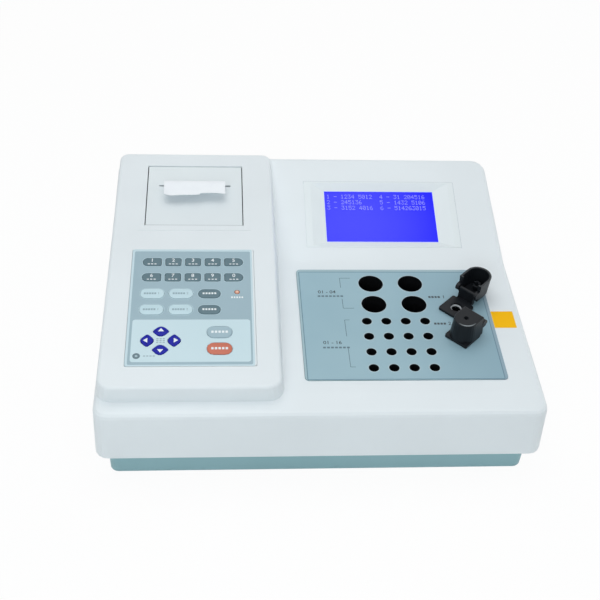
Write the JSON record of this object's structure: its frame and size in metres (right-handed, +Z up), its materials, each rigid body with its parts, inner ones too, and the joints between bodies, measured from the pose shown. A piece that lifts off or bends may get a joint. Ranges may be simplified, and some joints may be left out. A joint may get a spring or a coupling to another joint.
{
  "type": "coagulation analyzer",
  "caption": "Bench instrument for timing blood clotting, with heated reagent and cuvette wells, capped optic channels, keypad, tilted display and built-in strip printer.",
  "frame": {"origin": "centre of the bounding box on the bench plane, under the feet", "axes": "+X to the right of someone facing the keypad, +Y towards the back panel, +Z up"},
  "size_m": [0.3696, 0.3199, 0.1255],
  "materials": {
    "white_plastic": "fine texture",
    "teal_plastic": "fine texture",
    "plate_blue": "satin",
    "keypad_film": "satin film",
    "key_film": "satin film",
    "black_plastic": "matt",
    "black_block": "black anodised",
    "bright_metal": "bright",
    "panel_metal": "satin",
    "lcd_glass": "gloss",
    "board_green": "solder mask",
    "white_paper": "thermal paper",
    "grey_rubber": "matt",
    "lamp_orange": "tinted"
  },
  "bodies": {
    "housing": {"upper_housing": "white_plastic", "base_tray": "teal_plastic", "foot_1": "grey_rubber", "foot_2": "grey_rubber", "foot_3": "grey_rubber", "foot_4": "grey_rubber", "deck_plate": "plate_blue", "vial_block": "black_block", "tube_block": "black_block", "optic_1_base": "black_plastic", "optic_1_pin": "bright_metal", "optic_1_sleeve": "bright_metal", "optic_2_base": "black_plastic", "optic_2_pin": "bright_metal", "optic_2_sleeve": "bright_metal", "display_bezel": "white_plastic", "lcd_panel": "lcd_glass", "lcd_board": "board_green", "printer_bay": "black_plastic", "print_head": "bright_metal", "keypad_overlay": "keypad_film", "status_lamp": "lamp_orange", "rear_panel": "panel_metal", "power_inlet": "black_plastic", "serial_port": "bright_metal", "main_board": "board_green", "power_supply": "panel_metal"},
    "door": {"printer_door": "white_plastic", "paper_strip": "white_paper"},
    "platen": {"platen_roller": "grey_rubber"},
    "roll": {"paper_roll": "white_paper", "paper_spindle": "black_plastic"},
    "cap_1": {"optic_1_cap": "black_plastic"},
    "cap_2": {"optic_2_cap": "black_plastic"},
    "rocker": {"power_rocker": "black_plastic"},
    "body_digit_key_11": {"digit_key_11": "key_film"},
    "body_digit_key_12": {"digit_key_12": "key_film"},
    "body_digit_key_13": {"digit_key_13": "key_film"},
    "body_digit_key_14": {"digit_key_14": "key_film"},
    "body_digit_key_15": {"digit_key_15": "key_film"},
    "body_digit_key_21": {"digit_key_21": "key_film"},
    "body_digit_key_22": {"digit_key_22": "key_film"},
    "body_digit_key_23": {"digit_key_23": "key_film"},
    "body_digit_key_24": {"digit_key_24": "key_film"},
    "body_digit_key_25": {"digit_key_25": "key_film"},
    "body_function_key_11": {"function_key_11": "key_film"},
    "body_function_key_12": {"function_key_12": "key_film"},
    "body_service_key_1": {"service_key_1": "key_film"},
    "body_function_key_21": {"function_key_21": "key_film"},
    "body_function_key_22": {"function_key_22": "key_film"},
    "body_service_key_2": {"service_key_2": "key_film"},
    "body_arrow_key_up": {"arrow_key_up": "key_film"},
    "body_arrow_key_down": {"arrow_key_down": "key_film"},
    "body_arrow_key_left": {"arrow_key_left": "key_film"},
    "body_arrow_key_right": {"arrow_key_right": "key_film"},
    "body_command_key_1": {"command_key_1": "key_film"},
    "body_command_key_2": {"command_key_2": "key_film"}
  },
  "joints": [
    {"name": "door_hinge", "type": "hinge", "parent": "housing", "child": "door", "pos_m": [-0.10665, 0.13197, 0.11598], "axis": [-1, 0, 0], "range_deg": [0, 95]},
    {"name": "platen_turn", "type": "hinge", "parent": "housing", "child": "platen", "pos_m": [-0.10665, 0.11243, 0.10335], "axis": [1, 0, 0], "continuous": true},
    {"name": "roll_turn", "type": "hinge", "parent": "housing", "child": "roll", "pos_m": [-0.10665, 0.07707, 0.08541], "axis": [1, 0, 0], "continuous": true},
    {"name": "cap_1_hinge", "type": "hinge", "parent": "housing", "child": "cap_1", "pos_m": [0.13679, -0.02241, 0.0942], "axis": [0.7071, -0.7071, 0], "range_deg": [0, 180]},
    {"name": "cap_2_hinge", "type": "hinge", "parent": "housing", "child": "cap_2", "pos_m": [0.13679, -0.05741, 0.0942], "axis": [-0.7071, 0.7071, 0], "range_deg": [0, 180]},
    {"name": "rocker_hinge", "type": "hinge", "parent": "housing", "child": "rocker", "pos_m": [0.0905, 0.1514, 0.0665], "axis": [1, 0, 0], "range_deg": [0, 14]},
    {"name": "digit_key_11_press", "type": "slide", "parent": "housing", "child": "body_digit_key_11", "axis": [0, 0.0814, -0.9967], "range_m": [0, 0.0005], "stiffness_N_per_m": 800, "springref_m": -0.0002},
    {"name": "digit_key_12_press", "type": "slide", "parent": "housing", "child": "body_digit_key_12", "axis": [0, 0.0814, -0.9967], "range_m": [0, 0.0005], "stiffness_N_per_m": 800, "springref_m": -0.0002},
    {"name": "digit_key_13_press", "type": "slide", "parent": "housing", "child": "body_digit_key_13", "axis": [0, 0.0814, -0.9967], "range_m": [0, 0.0005], "stiffness_N_per_m": 800, "springref_m": -0.0002},
    {"name": "digit_key_14_press", "type": "slide", "parent": "housing", "child": "body_digit_key_14", "axis": [0, 0.0814, -0.9967], "range_m": [0, 0.0005], "stiffness_N_per_m": 800, "springref_m": -0.0002},
    {"name": "digit_key_15_press", "type": "slide", "parent": "housing", "child": "body_digit_key_15", "axis": [0, 0.0814, -0.9967], "range_m": [0, 0.0005], "stiffness_N_per_m": 800, "springref_m": -0.0002},
    {"name": "digit_key_21_press", "type": "slide", "parent": "housing", "child": "body_digit_key_21", "axis": [0, 0.0814, -0.9967], "range_m": [0, 0.0005], "stiffness_N_per_m": 800, "springref_m": -0.0002},
    {"name": "digit_key_22_press", "type": "slide", "parent": "housing", "child": "body_digit_key_22", "axis": [0, 0.0814, -0.9967], "range_m": [0, 0.0005], "stiffness_N_per_m": 800, "springref_m": -0.0002},
    {"name": "digit_key_23_press", "type": "slide", "parent": "housing", "child": "body_digit_key_23", "axis": [0, 0.0814, -0.9967], "range_m": [0, 0.0005], "stiffness_N_per_m": 800, "springref_m": -0.0002},
    {"name": "digit_key_24_press", "type": "slide", "parent": "housing", "child": "body_digit_key_24", "axis": [0, 0.0814, -0.9967], "range_m": [0, 0.0005], "stiffness_N_per_m": 800, "springref_m": -0.0002},
    {"name": "digit_key_25_press", "type": "slide", "parent": "housing", "child": "body_digit_key_25", "axis": [0, 0.0814, -0.9967], "range_m": [0, 0.0005], "stiffness_N_per_m": 800, "springref_m": -0.0002},
    {"name": "function_key_11_press", "type": "slide", "parent": "housing", "child": "body_function_key_11", "axis": [0, 0.0814, -0.9967], "range_m": [0, 0.0005], "stiffness_N_per_m": 800, "springref_m": -0.0002},
    {"name": "function_key_12_press", "type": "slide", "parent": "housing", "child": "body_function_key_12", "axis": [0, 0.0814, -0.9967], "range_m": [0, 0.0005], "stiffness_N_per_m": 800, "springref_m": -0.0002},
    {"name": "service_key_1_press", "type": "slide", "parent": "housing", "child": "body_service_key_1", "axis": [0, 0.0814, -0.9967], "range_m": [0, 0.0005], "stiffness_N_per_m": 800, "springref_m": -0.0002},
    {"name": "function_key_21_press", "type": "slide", "parent": "housing", "child": "body_function_key_21", "axis": [0, 0.0814, -0.9967], "range_m": [0, 0.0005], "stiffness_N_per_m": 800, "springref_m": -0.0002},
    {"name": "function_key_22_press", "type": "slide", "parent": "housing", "child": "body_function_key_22", "axis": [0, 0.0814, -0.9967], "range_m": [0, 0.0005], "stiffness_N_per_m": 800, "springref_m": -0.0002},
    {"name": "service_key_2_press", "type": "slide", "parent": "housing", "child": "body_service_key_2", "axis": [0, 0.0814, -0.9967], "range_m": [0, 0.0005], "stiffness_N_per_m": 800, "springref_m": -0.0002},
    {"name": "arrow_key_up_press", "type": "slide", "parent": "housing", "child": "body_arrow_key_up", "axis": [0, 0.0814, -0.9967], "range_m": [0, 0.0005], "stiffness_N_per_m": 800, "springref_m": -0.0002},
    {"name": "arrow_key_down_press", "type": "slide", "parent": "housing", "child": "body_arrow_key_down", "axis": [0, 0.0814, -0.9967], "range_m": [0, 0.0005], "stiffness_N_per_m": 800, "springref_m": -0.0002},
    {"name": "arrow_key_left_press", "type": "slide", "parent": "housing", "child": "body_arrow_key_left", "axis": [0, 0.0814, -0.9967], "range_m": [0, 0.0005], "stiffness_N_per_m": 800, "springref_m": -0.0002},
    {"name": "arrow_key_right_press", "type": "slide", "parent": "housing", "child": "body_arrow_key_right", "axis": [0, 0.0814, -0.9967], "range_m": [0, 0.0005], "stiffness_N_per_m": 800, "springref_m": -0.0002},
    {"name": "command_key_1_press", "type": "slide", "parent": "housing", "child": "body_command_key_1", "axis": [0, 0.0814, -0.9967], "range_m": [0, 0.0005], "stiffness_N_per_m": 800, "springref_m": -0.0002},
    {"name": "command_key_2_press", "type": "slide", "parent": "housing", "child": "body_command_key_2", "axis": [0, 0.0814, -0.9967], "range_m": [0, 0.0005], "stiffness_N_per_m": 800, "springref_m": -0.0002}
  ]
}
